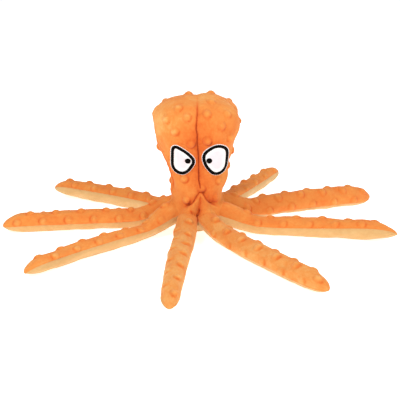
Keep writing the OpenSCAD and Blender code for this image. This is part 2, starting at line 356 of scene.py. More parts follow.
def head_inside(points):
    """How far inside the head or the gathered middle each point is; negative outside."""
    x, y, z = points.T
    width = head_half_width(np.minimum(z, HEAD_TOP - CROWN_HEIGHT))
    depth = width * mix(1, HEAD_FLATNESS, smooth((z - HEAD_BOTTOM) / 0.040))
    up = np.clip((z - HEAD_TOP + CROWN_HEIGHT) / CROWN_HEIGHT, 0, 1)
    off_centre = np.minimum(np.abs(x / width), 1) ** 2 + np.minimum(np.abs(y / depth), 1) ** 2
    level = z + CROWN_FALL * up * off_centre
    lift = np.clip((level - HEAD_TOP + CROWN_HEIGHT) / CROWN_HEIGHT, 0, 1)
    close = np.maximum(np.sqrt(1 - lift ** 2) ** 0.55, 1e-3)
    ratio = (np.abs(x / width) ** ROUNDNESS + np.abs(y / depth) ** ROUNDNESS) ** (1 / ROUNDNESS)
    return np.where(level > HEAD_TOP, HEAD_TOP - level - 1 * MM, (close - ratio) * width)


def body_inside(points):
    """The head and the legs' roots as one soft form, with crisp folds between neighbouring legs."""
    value = head_inside(points)
    low = points[:, 2] < ROOTS_TOP
    near = points[low]
    blended = value[low]
    from_axis = np.hypot(near[:, 0], near[:, 1])
    slope = mix(14 * MM, 2 * MM, smooth((from_axis - 24 * MM) / (9 * MM)))
    for leg in legs:
        blended = soft_max(blended, leg.inside(near), slope if leg.shoulder else 2 * MM)
    value[low] = blended
    return value


# ---- body skin ----
COLUMNS = 520
CROWN_ROWS = 40
SIDE_ROWS = 62
SKIRT_ROWS = 34
UNDER_ROWS = 22
CROWN_CENTRE = 0.114
SKIRT_CENTRE = 0.046
SKIRT_END = -48
UNDER_END = -79
SKIRT_REACH = 33 * MM
FAR = 0.075


def body_rays():
    """Rows of [height of the start, elevation] that together look at the whole body."""
    crown = [(CROWN_CENTRE, e) for e in np.linspace(89.5, 0, CROWN_ROWS)]
    side = [(z, 0) for z in np.linspace(CROWN_CENTRE, SKIRT_CENTRE, SIDE_ROWS)[1:]]
    skirt = [(SKIRT_CENTRE, e) for e in np.linspace(0, SKIRT_END, SKIRT_ROWS)[1:]]
    under = [(SKIRT_CENTRE, e) for e in np.linspace(SKIRT_END, UNDER_END, UNDER_ROWS)[1:]]
    return np.array(crown + side + skirt + under)


def body_grid():
    """The body's skin on rays from its middle, closer together at the front, back and side seams."""
    rays = body_rays()
    even = np.linspace(0, 2 * math.pi, COLUMNS, endpoint=False)
    bearing = even - 0.5 * np.sin(4 * even) / 4
    elevation = np.radians(rays[:, 1])[:, None]
    direction = np.stack((
        np.cos(elevation) * np.sin(bearing),
        -np.cos(elevation) * np.cos(bearing),
        np.broadcast_to(np.sin(elevation), (len(rays), COLUMNS)),
    ), axis=-1).reshape(-1, 3)
    start = np.zeros_like(direction)
    start[:, 2] = np.repeat(rays[:, 0], COLUMNS)
    reach = np.where(start[:, 2] > SKIRT_CENTRE + 1e-6, FAR, SKIRT_REACH)
    limit = np.minimum(reach / np.maximum(np.hypot(direction[:, 0], direction[:, 1]), 0.02), FAR)
    inner = np.zeros(len(direction))
    outer = limit.copy()
    for k in range(22, 0, -1):
        t = limit * k / 23
        hit = (body_inside(start + direction * t[:, None]) > 0) & (inner == 0)
        inner[hit] = t[hit]
        outer[hit] = (limit * (k + 1) / 23)[hit]
    for _ in range(9):
        t = (inner + outer) / 2
        deeper = body_inside(start + direction * t[:, None]) > 0
        inner = np.where(deeper, t, inner)
        outer = np.where(deeper, outer, t)
    return (start + direction * inner[:, None]).reshape(len(rays), COLUMNS, 3)


# ---- meshes ----
def grid_faces(rows, columns, closed):
    r = np.arange(rows - 1)[:, None] * columns
    c = np.arange(columns if closed else columns - 1)[None, :]
    after = (c + 1) % columns
    return np.stack((r + c, r + columns + c, r + columns + after, r + after), axis=-1).reshape(-1, 4)


def grid_normals(grid, closed):
    down = np.gradient(grid, axis=0)
    wrapped = np.concatenate((grid[:, -1:], grid, grid[:, :1]), axis=1) if closed else grid
    over = np.gradient(wrapped, axis=1)
    over = over[:, 1:-1] if closed else over
    return unit(np.cross(down, over))


# ---- cloth simulation ----
PRESSURE = 4
SWELL_FRAMES = 20
EVENING = 3
COARSE = 4


def swell(grid, held, slack, limit):
    """How far each point of a closed tube of cloth moves when stuffing presses on it and its seams hold."""
    rows, columns = grid.shape[:2]
    mesh = bpy.data.meshes.new("swelling")
    mesh.from_pydata(grid.reshape(-1, 3).tolist(), [], grid_faces(rows, columns, True).tolist())
    piece = add_object("swelling", mesh)
    scene = bpy.context.scene
    seams = piece.vertex_groups.new(name="seams")
    for index, weight in enumerate(held.ravel().tolist()):
        seams.add([index], weight, "REPLACE")
    cloth = piece.modifiers.new("cloth", "CLOTH")
    cloth.settings.quality = 6
    cloth.settings.mass = 0.02
    cloth.settings.tension_stiffness = 8
    cloth.settings.compression_stiffness = 8
    cloth.settings.shear_stiffness = 4
    cloth.settings.bending_stiffness = 0.02
    cloth.settings.vertex_group_mass = "seams"
    cloth.settings.use_pressure = True
    cloth.settings.uniform_pressure_force = PRESSURE
    cloth.settings.shrink_min = -slack
    cloth.settings.effector_weights.gravity = 0
    cloth.point_cache.frame_start = 1
    cloth.point_cache.frame_end = SWELL_FRAMES
    for step in range(1, SWELL_FRAMES + 1):
        scene.frame_set(step)
    result = piece.evaluated_get(bpy.context.evaluated_depsgraph_get())
    moved = np.array([v.co for v in result.data.vertices]).reshape(grid.shape) - grid
    bpy.data.objects.remove(piece)
    bpy.data.meshes.remove(mesh)
    scene.frame_set(1)
    for _ in range(EVENING):
        padded = np.concatenate((moved[:1], moved, moved[-1:]))
        moved = (padded[:-2] + padded[1:-1] + padded[2:]) / 3
    size = np.linalg.norm(moved, axis=-1, keepdims=True)
    return moved * np.minimum(1, limit / np.maximum(size, 1e-9))


def between(values, at, closed):
    """Values along their first axis at the fractional places, on smooth curves through them."""
    count = len(values)
    low = np.floor(at).astype(int)
    t = (at - low)[:, None, None]

    def pick(k):
        return values[(low + k) % count] if closed else values[np.clip(low + k, 0, count - 1)]

    before, first, second, after = pick(-1), pick(0), pick(1), pick(2)
    square = 2 * before - 5 * first + 4 * second - after
    cube = 3 * (first - second) + after - before
    return first + 0.5 * t * (second - before + t * (square + t * cube))


def refine(coarse, rows, columns):
    """Spread the values of a coarse tube over the fractional rows and columns of a fine one."""
    across = between(coarse.swapaxes(0, 1), columns, True).swapaxes(0, 1)
    return between(across, rows, False)


def grid_piece(name, grid, normals, place, tone, material, closed=False, cap=False, cream_share=None):
    """A mesh over a grid of points, with smooth normals.

    Place is the cloth's own coordinates, and tone runs from -1, pale, to 1, dark.
    """
    rows, columns = grid.shape[:2]
    points = grid.reshape(-1, 3)
    faces = grid_faces(rows, columns, closed).tolist()
    normals = normals.reshape(-1, 3)
    place = place.reshape(-1, 3)
    tone = tone.ravel()
    shares = np.zeros(len(tone)) if cream_share is None else cream_share.ravel()
    if cap:
        faces += [(len(points), c, (c + 1) % columns) for c in range(columns)]
        points = np.vstack((points, grid[0].mean(0)))
        normals = np.vstack((normals, unit(normals[:columns].mean(0))))
        place = np.vstack((place, place[:columns].mean(0)))
        tone = np.append(tone, tone[:columns].mean())
        shares = np.append(shares, 0)
    mesh = bpy.data.meshes.new(name)
    mesh.from_pydata(points.tolist(), [], faces)
    mesh.polygons.foreach_set("use_smooth", [True] * len(mesh.polygons))
    attribute = mesh.attributes.new("cloth_place", "FLOAT_VECTOR", "POINT")
    attribute.data.foreach_set("vector", place.astype(np.float32).ravel())
    for kind, values in (("cloth_tone", tone), ("cloth_cream", shares)):
        attribute = mesh.attributes.new(kind, "FLOAT", "POINT")
        attribute.data.foreach_set("value", values.astype(np.float32))
    mesh.normals_split_custom_set_from_vertices(normals.tolist())
    mesh.materials.append(material)
    return add_object(name, mesh)


def closed_piece(name, grid, material, place=None, tone=None, cap=False):
    """A piece whose rows are closed loops, flat in tone and with its own points as places unless given."""
    place = grid if place is None else place
    tone = np.zeros(grid.shape[:2]) if tone is None else tone
    return grid_piece(name, grid, grid_normals(grid, True), place, tone, material, True, cap)


# ---- materials ----
class Surface:
    """A material under construction. Its methods add nodes and give back their outputs."""

    def __init__(self, name):
        self.material = bpy.data.materials.new(name)
        self.material.use_nodes = True
        self.nodes = self.material.node_tree.nodes
        self.links = self.material.node_tree.links

    def fill(self, node, inputs):
        """Set each named input of a node to a value, or wire an output to it."""
        for socket, value in inputs:
            if isinstance(value, bpy.types.NodeSocket):
                self.links.new(value, node.inputs[socket])
            else:
                node.inputs[socket].default_value = value
        return node

    def attribute(self, name, output="Fac"):
        node = self.nodes.new("ShaderNodeAttribute")
        node.attribute_name = name
        return node.outputs[output]

    def solid_place(self):
        return self.nodes.new("ShaderNodeTexCoord").outputs["Object"]

    def stretch(self, vector, scale):
        node = self.nodes.new("ShaderNodeMapping")
        return self.fill(node, (("Vector", vector), ("Scale", scale))).outputs["Vector"]

    def noise(self, vector, scale, detail, roughness=0.5):
        node = self.nodes.new("ShaderNodeTexNoise")
        inputs = (("Vector", vector), ("Scale", scale), ("Detail", detail), ("Roughness", roughness))
        return self.fill(node, inputs).outputs["Fac"]

    def scale_add(self, value, factor, base):
        """value * factor + base, where base is a number or another value."""
        node = self.nodes.new("ShaderNodeMath")
        node.operation = "MULTIPLY_ADD"
        return self.fill(node, ((0, value), (1, factor), (2, base))).outputs[0]

    def ramp(self, value, stops):
        node = self.fill(self.nodes.new("ShaderNodeValToRGB"), (("Fac", value),))
        while len(node.color_ramp.elements) < len(stops):
            node.color_ramp.elements.new(0.5)
        for element, (position, colour) in zip(node.color_ramp.elements, stops):
            element.position = position
            element.color = (*colour, 1)
        return node.outputs["Color"]

    def mix(self, share, first, second):
        node = self.nodes.new("ShaderNodeMix")
        node.data_type = "RGBA"
        return self.fill(node, (("Factor", share), (6, first), (7, second))).outputs[2]

    def bump(self, height, strength, distance):
        node = self.nodes.new("ShaderNodeBump")
        inputs = (("Height", height), ("Strength", strength), ("Distance", distance))
        return self.fill(node, inputs).outputs["Normal"]

    def finish(self, inputs):
        self.fill(self.nodes["Principled BSDF"], inputs)
        return self.material


# Colours from where the pile catches the light, a painted highlight, to the painted shade at the bottom of
# a fold.
ORANGE_STOPS = (
    (0.10, (0.75, 0.43, 0.145)),
    (0.34, (0.715, 0.252, 0.054)),
    (0.52, (0.685, 0.176, 0.032)),
    (0.72, (0.61, 0.104, 0.015)),
    (0.98, (0.26, 0.026, 0.004)),
)
CREAM_STOPS = (
    (0.10, (0.67, 0.47, 0.245)),
    (0.34, (0.63, 0.38, 0.155)),
    (0.52, (0.585, 0.32, 0.113)),
    (0.72, (0.52, 0.25, 0.08)),
    (0.98, (0.34, 0.14, 0.04)),
)


def plush(name, stops, sheen, under_stops=None):
    """Short-pile plush: patches where the pile lies the other way, fine fibres, and painted light and shade
    from the cloth's tone, darkest in folds.
    """
    surface = Surface(name)
    place = surface.attribute("cloth_place", "Vector")
    fibre = surface.noise(place, 1500, 3, 0.7)
    tuft = surface.noise(place, 420, 3, 0.6)
    nap = surface.noise(place, 52, 3, 0.55)
    crush = surface.noise(place, 150, 2, 0.6)
    value = surface.scale_add(surface.attribute("cloth_tone"), 0.5, -0.07)
    for part, share in ((nap, 0.36), (crush, 0.24), (tuft, 0.20), (fibre, 0.16)):
        value = surface.scale_add(part, share, value)
    colour = surface.ramp(value, stops)
    if under_stops:
        under = surface.ramp(value, under_stops)
        colour = surface.mix(surface.attribute("cloth_cream"), colour, under)
    pile = surface.bump(surface.scale_add(fibre, 0.5, tuft), 0.35, 0.5 * MM)
    return surface.finish((
        ("Base Color", colour), ("Normal", pile), ("Roughness", 0.95), ("Specular IOR Level", 0.12),
        ("Sheen Weight", 0.25), ("Sheen Roughness", 0.5), ("Sheen Tint", (*sheen, 1))))


def felt():
    """Needled white felt, faintly lilac in the middle of the eye."""
    surface = Surface("white_felt")
    place = surface.attribute("cloth_place", "Vector")
    fibre = surface.noise(place, 1300, 4, 0.7)
    patch = surface.noise(place, 260, 3, 0.6)
    value = surface.scale_add(surface.attribute("cloth_tone"), 0.62, -0.16)
    value = surface.scale_add(patch, 0.34, value)
    value = surface.scale_add(fibre, 0.14, value)
    stops = ((0.08, (0.93, 0.93, 0.93)), (0.3, (0.88, 0.865, 0.875)), (0.7, (0.80, 0.73, 0.775)))
    return surface.finish((
        ("Base Color", surface.ramp(value, stops)), ("Normal", surface.bump(fibre, 0.3, 0.3 * MM)),
        ("Roughness", 0.9), ("Specular IOR Level", 0.2)))


def thread(name, dark, light, roughness, shine):
    """Embroidery thread: stitches lie side by side along the first coordinate of the cloth."""
    surface = Surface(name)
    place = surface.stretch(surface.attribute("cloth_place", "Vector"), (3, 0.6, 1))
    strand = surface.noise(place, 900, 3, 0.6)
    return surface.finish((
        ("Base Color", surface.ramp(strand, ((0.35, dark), (0.7, light)))),
        ("Normal", surface.bump(strand, 0.5, 0.2 * MM)),
        ("Roughness", roughness), ("Specular IOR Level", shine)))


def fibre_fill():
    """Loose polyester wadding."""
    surface = Surface("wadding")
    place = surface.solid_place()
    curl = surface.noise(place, 240, 5, 0.7)
    value = surface.scale_add(surface.noise(place, 45, 2), 0.6, curl)
    stops = ((0.3, (0.72, 0.72, 0.70)), (0.6, (0.90, 0.90, 0.89)))
    return surface.finish((
        ("Base Color", surface.ramp(value, stops)), ("Normal", surface.bump(curl, 0.9, 1.5 * MM)),
        ("Roughness", 1)))


def moulded(name, tints, speckle, wave, clear):
    """Thin translucent plastic, moulded or crumpled."""
    surface = Surface(name)
    place = surface.solid_place()
    cloud = surface.ramp(surface.noise(place, speckle, 3), ((0.35, tints[0]), (0.65, tints[1])))
    crumple = surface.bump(surface.noise(place, wave, 2), 0.4, 0.4 * MM)
    return surface.finish((
        ("Base Color", cloud), ("Normal", crumple), ("Roughness", 0.32), ("Transmission Weight", clear)))


orange = plush("orange_plush", ORANGE_STOPS, (1, 0.72, 0.45), CREAM_STOPS)
cream = plush("cream_plush", CREAM_STOPS, (1, 0.95, 0.85))
white_felt = felt()
black_thread = thread("black_thread", (0.0008, 0.0006, 0.0006), (0.004, 0.003, 0.003), 0.8, 0.06)
cream_thread = thread("cream_thread", (0.55, 0.38, 0.16), (0.86, 0.68, 0.38), 0.6, 0.15)
wadding = fibre_fill()
plastic = moulded("squeaker_plastic", ((0.80, 0.84, 0.86), (0.90, 0.93, 0.94)), 120, 300, 0.35)
crinkle = moulded("crinkle_film", ((0.70, 0.76, 0.80), (0.88, 0.92, 0.95)), 60, 210, 0.5)


# ---- shaping ----
def lobe(points, middle, radius):
    """1 at the middle, falling smoothly to 0 at the radius."""
    away = np.linalg.norm(points - np.array(middle) * MM, axis=-1) / (radius * MM)
    return np.maximum(1 - away * away, 0) ** 2


def valley(distance, width):
    return np.exp(-(distance / width) ** 2)


def line_distance(points, line):
    """Distance of each point from a line drawn through places, all in two coordinates."""
    best = np.full(points.shape[:-1], 1.0)
    for first, second in zip(line[:-1], line[1:]):
        first, second = np.array(first) * MM, np.array(second) * MM
        run = second - first
        t = np.clip(((points - first) @ run) / (run @ run), 0, 1)
        best = np.minimum(best, np.linalg.norm(points - first - t[..., None] * run, axis=-1))
    return best


def nearest(grid, keep, axes, target):
    """The point of the grid, of those to keep, that lies nearest to the target along two axes."""
    gap = np.linalg.norm(grid[..., axes] - np.array(target) * MM, axis=-1)
    gap[~keep] = 1
    return grid[np.unravel_index(gap.argmin(), gap.shape)]


DOT_HEIGHT = 3.1 * MM
DOT_RADIUS = 4.9 * MM
DOT_PITCH = 28
# The way away from the light over the head, down and to the right, where the dots' painted shade is
# deepest.
AWAY_FROM_LIGHT = np.array((0.6, 0, -0.8))


def dome(distance):
    inside = np.maximum(1 - (distance / DOT_RADIUS) ** 2, 0)
    return DOT_HEIGHT * inside ** 0.75 * mix(1, inside, 0.2)


def dot_painted_shade(distance, ahead):
    """A dot's painted highlight on its top and painted shade round its foot, deepest on the side ahead of
    it, where the shade falls.
    """
    ring = valley(distance - 0.93 * DOT_RADIUS, 1.1 * MM)
    shaded_side = np.clip(ahead / np.maximum(distance, 0.1 * MM), 0, 1)
    return (0.14 + 0.5 * shaded_side ** 2) * ring - 0.16 * valley(distance, DOT_RADIUS * 0.65)


# ---- build: body ----
# Stuffing pushes the head out or leaves it slack: (middle, radius, height), in mm.
STUFFING = (
    ((-43, -4, 134), 15, 2.4), ((46, -2, 138), 18, -4.2), ((46, -2, 100), 20, -3.2),
    ((47, 0, 120), 24, -1.4), ((33, -8, 62), 20, 3.8), ((-27, -8, 50), 12, 2.5),
    ((-31, -12, 92), 10, 1.2), ((4, -30, 128), 16, 0.9), ((-20, -26, 56), 14, 1.8),
    ((22, -26, 50), 12, 1.6), ((14, 2, 150), 20, 2.4), ((-9, -30, 43), 9, 1.6),
    ((15, -29, 45), 9, 1.6), ((2, -30, 40), 8, -1.0),
)
# Painted light and shade: the cloth is painted darker where shade falls, over the middle of the face and
# the neck, and paler where light falls, on the upper left and the top: (middle, radius, tone), in mm.
PAINTED_LIGHT_AND_SHADE = (
    ((4, -34, 102), 38, 0.42), ((0, -30, 70), 26, 0.32), ((16, -28, 46), 20, 0.30),
    ((-14, -30, 38), 14, 0.18), ((-36, -20, 128), 34, -0.32), ((4, -10, 150), 30, -0.22),
    ((30, -22, 146), 20, -0.12),
)
# Dots placed one by one, in mm: (x, z) in front, (x, y) on top, (which side, y, z) at the sides.
FRONT_DOTS = (
    (-32, 131), (-10.2, 134), (-19.5, 142), (-22.7, 119.5), (-5.9, 106.5), (-13.5, 65.5), (-11.5, 41.5),
    (15, 147), (10.2, 137), (31, 137), (25.4, 125), (10.6, 110), (35, 110), (4.8, 55.2), (20, 43),
    (23.5, 61.5),
)
TOP_DOTS = ((-9, 12), (15, 11), (-26, 28), (27, 30), (3, 30))
SIDE_DOTS = (
    (-1, 3, 94), (-1, 2, 56), (-1, 16, 122),
    (1, 1, 124), (1, 3, 90), (1, -4, 76), (1, 12, 107), (1, 10, 58),
)
# Seams, in mm: (x, z) in front and behind, (y, z) at the sides.
FRONT_SEAM = (
    (0, 151), (0.4, 140), (-0.2, 130), (-0.9, 122), (0.3, 116),
    (0.2, 108), (1.2, 96), (1.8, 84), (2, 64), (3.5, 56),
)
LEFT_SEAM = ((2, 146), (0, 130), (-3, 118), (-10, 105), (-15, 92), (-16, 74), (-14, 56), (-11, 46))
RIGHT_SEAM = ((4, 146), (6, 125), (8, 100), (7, 75), (3, 46))
# The edge where the front legs' cloth is sewn over the head's, an inverted V: (x, z), in mm.
LAP = (
    (-24, 27), (-13.5, 33), (-6.4, 37), (-2.5, 41.5), (3, 50),
    (5.5, 50), (9.5, 43), (13, 38.5), (18.5, 35), (28, 29),
)
LAP_MIDDLE = 4 * MM
# What is further back than this isn't part of the folds under the face.
FOLDS_BACK = -12 * MM
# Creases below it: (line, depth, tone of the painted shade in the crease). The middle of the V, and the
# notch that leads to the legs' parting.
CREASES = (
    (((3.6, 45), (3.4, 38), (2, 31)), 0.8, 0.30),
    (((-6.5, 30), (-3, 27), (0, 25), (1.6, 20), (3, 15)), 1.2, 0.85),
    (((2.4, 31), (0, 25)), 1.2, 0.65),
)


def seam_lines(grid):
    """Distances of each point from the front, back, left and right seams of the head."""
    x, y, z = grid[..., 0], grid[..., 1], grid[..., 2]
    lines = []
    for keep, axes, line in (
        (y < 0, (0, 2), FRONT_SEAM), (y > 0, (0, 2), FRONT_SEAM),
        (x < 0, (1, 2), LEFT_SEAM), (x > 0, (1, 2), RIGHT_SEAM)):
        lines.append(np.where(keep, line_distance(grid[..., axes], line), 1))
    return lines


def head_dots(grid):
    """The middles of the dots: placed one by one in front and in staggered rows behind."""
    y, z = grid[..., 1], grid[..., 2]
    dots = [nearest(grid, y < 0, (0, 2), place) for place in FRONT_DOTS]
    dots += [nearest(grid, z > 0.120, (0, 1), place) for place in TOP_DOTS]
    dots += [nearest(grid, grid[..., 0] * side > 0, (1, 2), place) for side, *place in SIDE_DOTS]
    for row, height in enumerate(range(42, 142, DOT_PITCH // 2)):
        half_width = float(head_half_width(np.array(height * MM))) / MM
        for k in (-1.5, -0.5, 0.5, 1.5) if row % 2 else (-1, 1):
            angle = k * DOT_PITCH * 0.94 / half_width
            if abs(angle) < 1.2:
                dots.append(nearest(grid, y > 0, (0, 2), (math.sin(angle) * half_width, height)))
    return dots


def lap_over(form):
    """Height where the front legs' cloth laps over the head's, with a painted highlight on the lapped
    cloth, and painted shade along the edge and in the gully above.
    """
    line = np.array(LAP) * MM
    edge = np.interp(form[..., 0], line[:, 0], line[:, 1])
    distance = line_distance(form[..., (0, 2)], LAP)
    ends = smooth((21 * MM - np.abs(form[..., 0] - LAP_MIDDLE)) / (9 * MM))
    below = form[..., 2] < edge
    lap = smooth(distance / (1.6 * MM)) * np.exp(-(distance / (9 * MM)) ** 2)
    height = np.where(below, 1.3 * lap, -1.5 * valley(distance, 2.4 * MM)) * MM
    # Painted highlight below the edge, and painted shade in the gully above it and along the edge.
    tone = np.where(below, -0.14 * lap, 0.42 * valley(distance, 4.5 * MM))
    tone += 0.35 * valley(distance, 0.8 * MM)
    return height * ends, tone * ends


def press_stuffing_and_paint_shade(form):
    """Height where stuffing pushes the cloth out or leaves it slack, and the painted light and shade:
    darker where shade falls, paler where light falls.
    """
    height = np.zeros(form.shape[:2])
    tone = np.zeros(form.shape[:2])
    for middle, radius, amount in STUFFING:
        height += amount * MM * lobe(form, middle, radius)
    # Painted light and shade over broad patches of the head.
    for middle, radius, amount in PAINTED_LIGHT_AND_SHADE:
        tone += amount * lobe(form, middle, radius)
    return height, tone


def sew_seams(form, above):
    """Height of the head's four puckered seams, and painted shade in and beside their grooves, which fade
    out over its top.
    """
    sewn = above * (1 - 0.75 * smooth((form[..., 2] - 142 * MM) / (8 * MM)))
    height = np.zeros(form.shape[:2])
    tone = np.zeros(form.shape[:2])
    for index, distance in enumerate(seam_lines(form)):
        deep = 1 if index == 0 else 0.8
        pucker = np.sin(2 * math.pi * form[..., 2] / (7.5 * MM) + 3 * ripple(form, 11 + index, 0.03))
        groove = 1.3 * MM * valley(distance, 1.0 * MM) + 0.8 * MM * valley(distance, 5 * MM)
        height -= sewn * deep * groove
        height += sewn * 0.22 * MM * pucker * valley(distance - 4 * MM, 3 * MM)
        # Painted shade in the seam's groove and beside it.
        tone += sewn * deep * (0.60 * valley(distance, 0.7 * MM) + 0.16 * valley(distance, 3.2 * MM))
    return height, tone


def fold_front(form):
    """Height of the lap and the creases under the face, and their painted highlight and painted shade."""
    front = form[..., 1] < FOLDS_BACK
    lap_height, lap_tone = lap_over(form)
    height = np.where(front, lap_height, 0)
    tone = np.where(front, lap_tone, 0)
    for line, depth, dark in CREASES:
        distance = np.where(front, line_distance(form[..., (0, 2)], line), 1)
        height -= depth * MM * valley(distance, 1.3 * MM)
        # Painted shade along each crease.
        tone += dark * valley(distance, 0.9 * MM) + 0.2 * valley(distance, 3 * MM)
    return height, tone


def shape_head(form):
    """Stuffing, seams, folds, ripples and dots over the swollen body, and the cloth's tone, which is
    painted light and shade.
    """
    normals = grid_normals(form, True)
    above = smooth((form[..., 2] - 44 * MM) / (12 * MM))
    reliefs = (press_stuffing_and_paint_shade(form), sew_seams(form, above), fold_front(form))
    height = sum(relief[0] for relief in reliefs)
    tone = sum(relief[1] for relief in reliefs)
    height += (0.45 * MM * ripple(form, 5, 0.024) + 0.12 * MM * ripple(form, 6, 0.006)) * above
    shaped = form + normals * height[..., None]
    for dot in head_dots(shaped):
        distance = np.linalg.norm(shaped - dot, axis=-1)
        lift = dome(distance)
        shaped = shaped + normals * lift[..., None]
        # Painted highlight on each dot's top and painted shade round its foot.
        tone += dot_painted_shade(distance, (shaped - dot) @ AWAY_FROM_LIGHT)
    return shaped, np.clip(tone, -1, 1)


def cream_shares(form):
    """1 where the body's skin is the underside of a leg's root, 0 above."""
    points = form.reshape(-1, 3)
    low = np.flatnonzero(points[:, 2] < 0.030)
    best = np.full(len(low), 1.0)
    share = np.zeros(len(low))
    for leg in legs:
        gap, below = leg.underneath(points[low])
        share = np.where(gap < best, below, share)
        best = np.minimum(best, gap)
    result = np.zeros(len(points))
    result[low] = smooth(share / 0.08)
    return result.reshape(form.shape[:2])


WADDING_GAP = 3.5 * MM
WADDING_BOTTOM = 50 * MM
# Share of the wadding's plan and of its height over the squeaker that its hollow takes.
HOLLOW_WIDTH = 0.64
HOLLOW_HEIGHT = 0.7
SQUEAKER_TOP = 100 * MM


def make_wadding(grid):
    """Loose stuffing behind the head's cloth, hollow in the middle, where the squeaker sits."""
    rows = np.flatnonzero(grid[..., 2].min(1) > WADDING_BOTTOM)[::2]
    skin = grid[rows][:, ::4]
    outward = skin.copy()
    outward[..., 2] = np.maximum(skin[..., 2] - CROWN_CENTRE, 0)
    outer = skin - unit(outward) * WADDING_GAP
    inner = outer[::-1] * np.array((HOLLOW_WIDTH, HOLLOW_WIDTH, 1))
    over = np.maximum(inner[..., 2] - SQUEAKER_TOP, 0)
    inner[..., 2] -= over * (1 - HOLLOW_HEIGHT)
    solid = np.concatenate((outer, inner))
    piece = closed_piece("head_stuffing", solid, wadding, cap=True)
    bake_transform(piece)
    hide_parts("head_wadding")


def swollen_body():
    """The body's form, swollen by the stuffing between its seams."""
    form = body_grid()
    rows, columns = form.shape[:2]
    coarse = form[::COARSE, ::COARSE]
    held = 1 - smooth((coarse[..., 2] - 46 * MM) / (14 * MM))
    for distance in seam_lines(coarse):
        held = np.maximum(held, valley(distance, 1.6 * MM))
    moved = swell(coarse, held, 0.03, 3 * MM)
    fine = refine(moved, np.arange(rows) / COARSE, np.arange(columns) / COARSE)
    for distance in seam_lines(form):
        fine *= 1 - valley(distance, 5 * MM)[..., None]
    return form + fine


def make_body():
    """The orange skin over the head and the legs' roots, the cream skin under them, and the wadding."""
    form = swollen_body()
    grid, tone = shape_head(form)
    normals = grid_normals(grid, True)
    shares = cream_shares(form)
    split = CROWN_ROWS + SIDE_ROWS - 1 + SKIRT_ROWS - 1
    top = [part[:split] for part in (grid, normals, grid, tone)]
    below = [part[split - 1:] for part in (grid, normals, grid, tone)]
    skin = grid_piece("body_skin", *top, orange, True, True, shares[:split])
    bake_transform(skin)
    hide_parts("neck_core", *[f"head_panel_{side}" for side in
                ("front_right", "back_right", "back_left", "front_left")])
    under = grid_piece("underside_skin", *below, cream, True)
    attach(under, "hub")
    make_wadding(grid)
    return skin


# ---- build: eyes ----
# Each eye's outline is drawn tight round circles of (x, z, radius), in mm.
EYES = {
    "left": ((-16.6, 81.2, 11.6), (-9.4, 85.9, 7.9), (-15.4, 92, 7.8), (-22.6, 99.9, 4.8)),
    "right": ((22.3, 79.8, 11.2), (18.4, 86, 12), (16.6, 90.5, 11.5), (21.8, 93, 12.3), (27.3, 98.8, 4)),
}
PUPILS = {"left": (-9.7, 86.3), "right": (12.9, 86.9)}
PUPIL_RADIUS = 3.1
# Shares of the pupil's radius, and how far the pupil stands over the head there, in mm.
PUPIL_DOME = ((0.03, 2.1), (0.3, 2.08), (0.6, 1.98), (0.85, 1.8), (0.97, 1.55), (1, 1.3), (1, 0.7))
BORDER = 3.5
FELT_SHARES = (0.03, 0.2, 0.4, 0.6, 0.75, 0.88, 1)
EYE_POINTS = 360
EYE_SOFTENING = 4
STITCH = 0.9


def eye_outline(circles):
    """Evenly spaced places of the outline, and the way out of it at each, in mm."""
    angles = np.linspace(0, 2 * math.pi, 1440, endpoint=False)
    out = np.column_stack((np.cos(angles), np.sin(angles)))
    reach = [np.array(c[:2]) @ out.T + c[2] for c in circles]
    chosen = np.argmax(reach, axis=0)
    middles = np.array([c[:2] for c in circles])
    radii = np.array([c[2] for c in circles])
    spots = middles[chosen] + radii[chosen, None] * out
    loop = np.vstack((spots, spots[:1]))
    run = np.concatenate(([0], np.cumsum(np.linalg.norm(np.diff(loop, axis=0), axis=1))))
    at = np.linspace(0, run[-1], EYE_POINTS, endpoint=False)
    places = np.column_stack([np.interp(at, run, loop[:, k]) for k in (0, 1)])
    for _ in range(EYE_SOFTENING):
        places = (np.roll(places, 6, axis=0) + places + np.roll(places, -6, axis=0)) / 3
    along = np.roll(places, -1, axis=0) - np.roll(places, 1, axis=0)
    return places, unit(np.column_stack((along[:, 1], -along[:, 0]))), run[-1]


def face_finder(skin):
    """A function giving the point of the head's front over places (x, z), in mm, raised by lift."""
    points = [v.co.copy() for v in skin.data.vertices]
    tree = BVHTree.FromPolygons(points, [tuple(p.vertices) for p in skin.data.polygons])

    def on_face(places, lift):
        lift = np.broadcast_to(lift, len(places))
        found = []
        for (x, z), up in zip(places, lift):
            hit, normal, _, _ = tree.ray_cast(Vector((x * MM, -0.2, z * MM)), Vector((0, 1, 0)))
            found.append((hit.x, hit.y - up * MM, hit.z))
        return np.array(found)

    return on_face


def ring_grid(on_face, loops, lifts):
    """A grid of closed rows through loops of places, each at its own lift over the head."""
    return np.stack([on_face(loop, lift) for loop, lift in zip(loops, lifts)])


def even_face(grid):
    """Evens out how far the rows of an eye follow small bumps of the cloth below."""
    for _ in range(4):
        wrapped = np.concatenate((grid[:, -1:], grid, grid[:, :1]), axis=1)
        grid = (wrapped[:, :-2] + 2 * wrapped[:, 1:-1] + wrapped[:, 2:]) / 4
    return grid


def eye_piece(name, grid, material, place, node, tone=None, cap=False):
    piece = closed_piece(name, grid, material, place, tone, cap)
    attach(piece, "head")
    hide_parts(node)


def flat_place(grid):
    """The cloth's own coordinates on a face: across, up, and nothing."""
    place = np.zeros(grid.shape)
    place[..., 0] = grid[..., 0]
    place[..., 1] = grid[..., 2]
    return place


